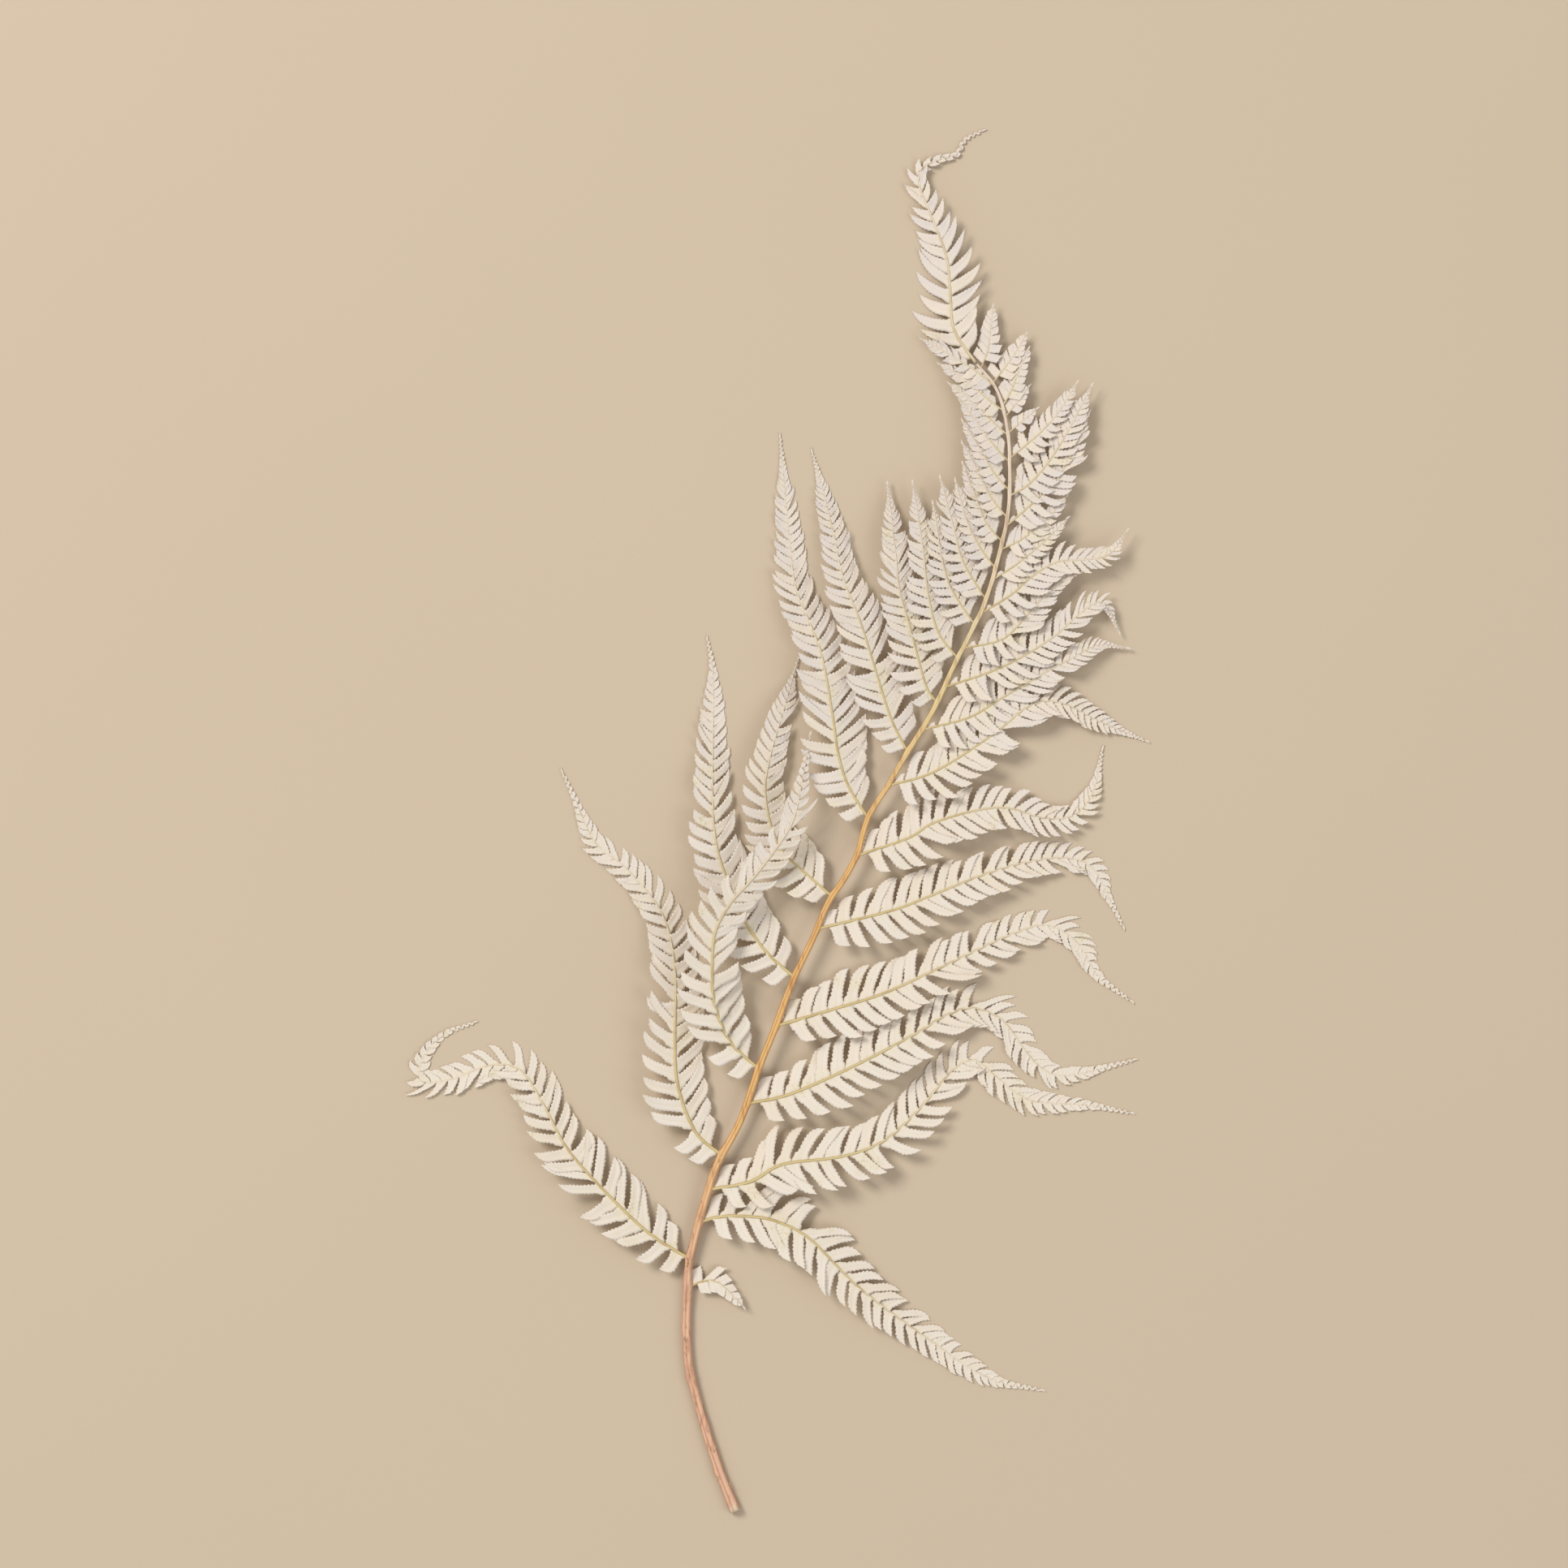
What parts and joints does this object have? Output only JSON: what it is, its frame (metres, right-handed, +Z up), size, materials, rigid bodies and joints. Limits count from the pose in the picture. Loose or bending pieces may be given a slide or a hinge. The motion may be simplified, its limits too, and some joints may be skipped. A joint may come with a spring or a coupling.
{
  "type": "dried fern frond",
  "caption": "Dried, bleached fern frond lying flat: a thin curved stalk, arching side branches cut to leaflets and a curled leafy tip, for dried arrangements and craft scenes.",
  "frame": {"origin": "centre of the frond's box at the surface it lies on", "axes": "+Y from the cut end of the stalk to the leafy tip, +Z up from the surface, +X to the right seen from above"},
  "size_m": [0.2978, 0.5542, 0.0175],
  "materials": {
    "foliage": "dry, bleached off-white leaf, matte",
    "stalk": "dry straw to tan stem, satin, used by the dressed view only"
  },
  "bodies": {
    "root": {"fern_frond": "foliage"}
  },
  "joints": []
}
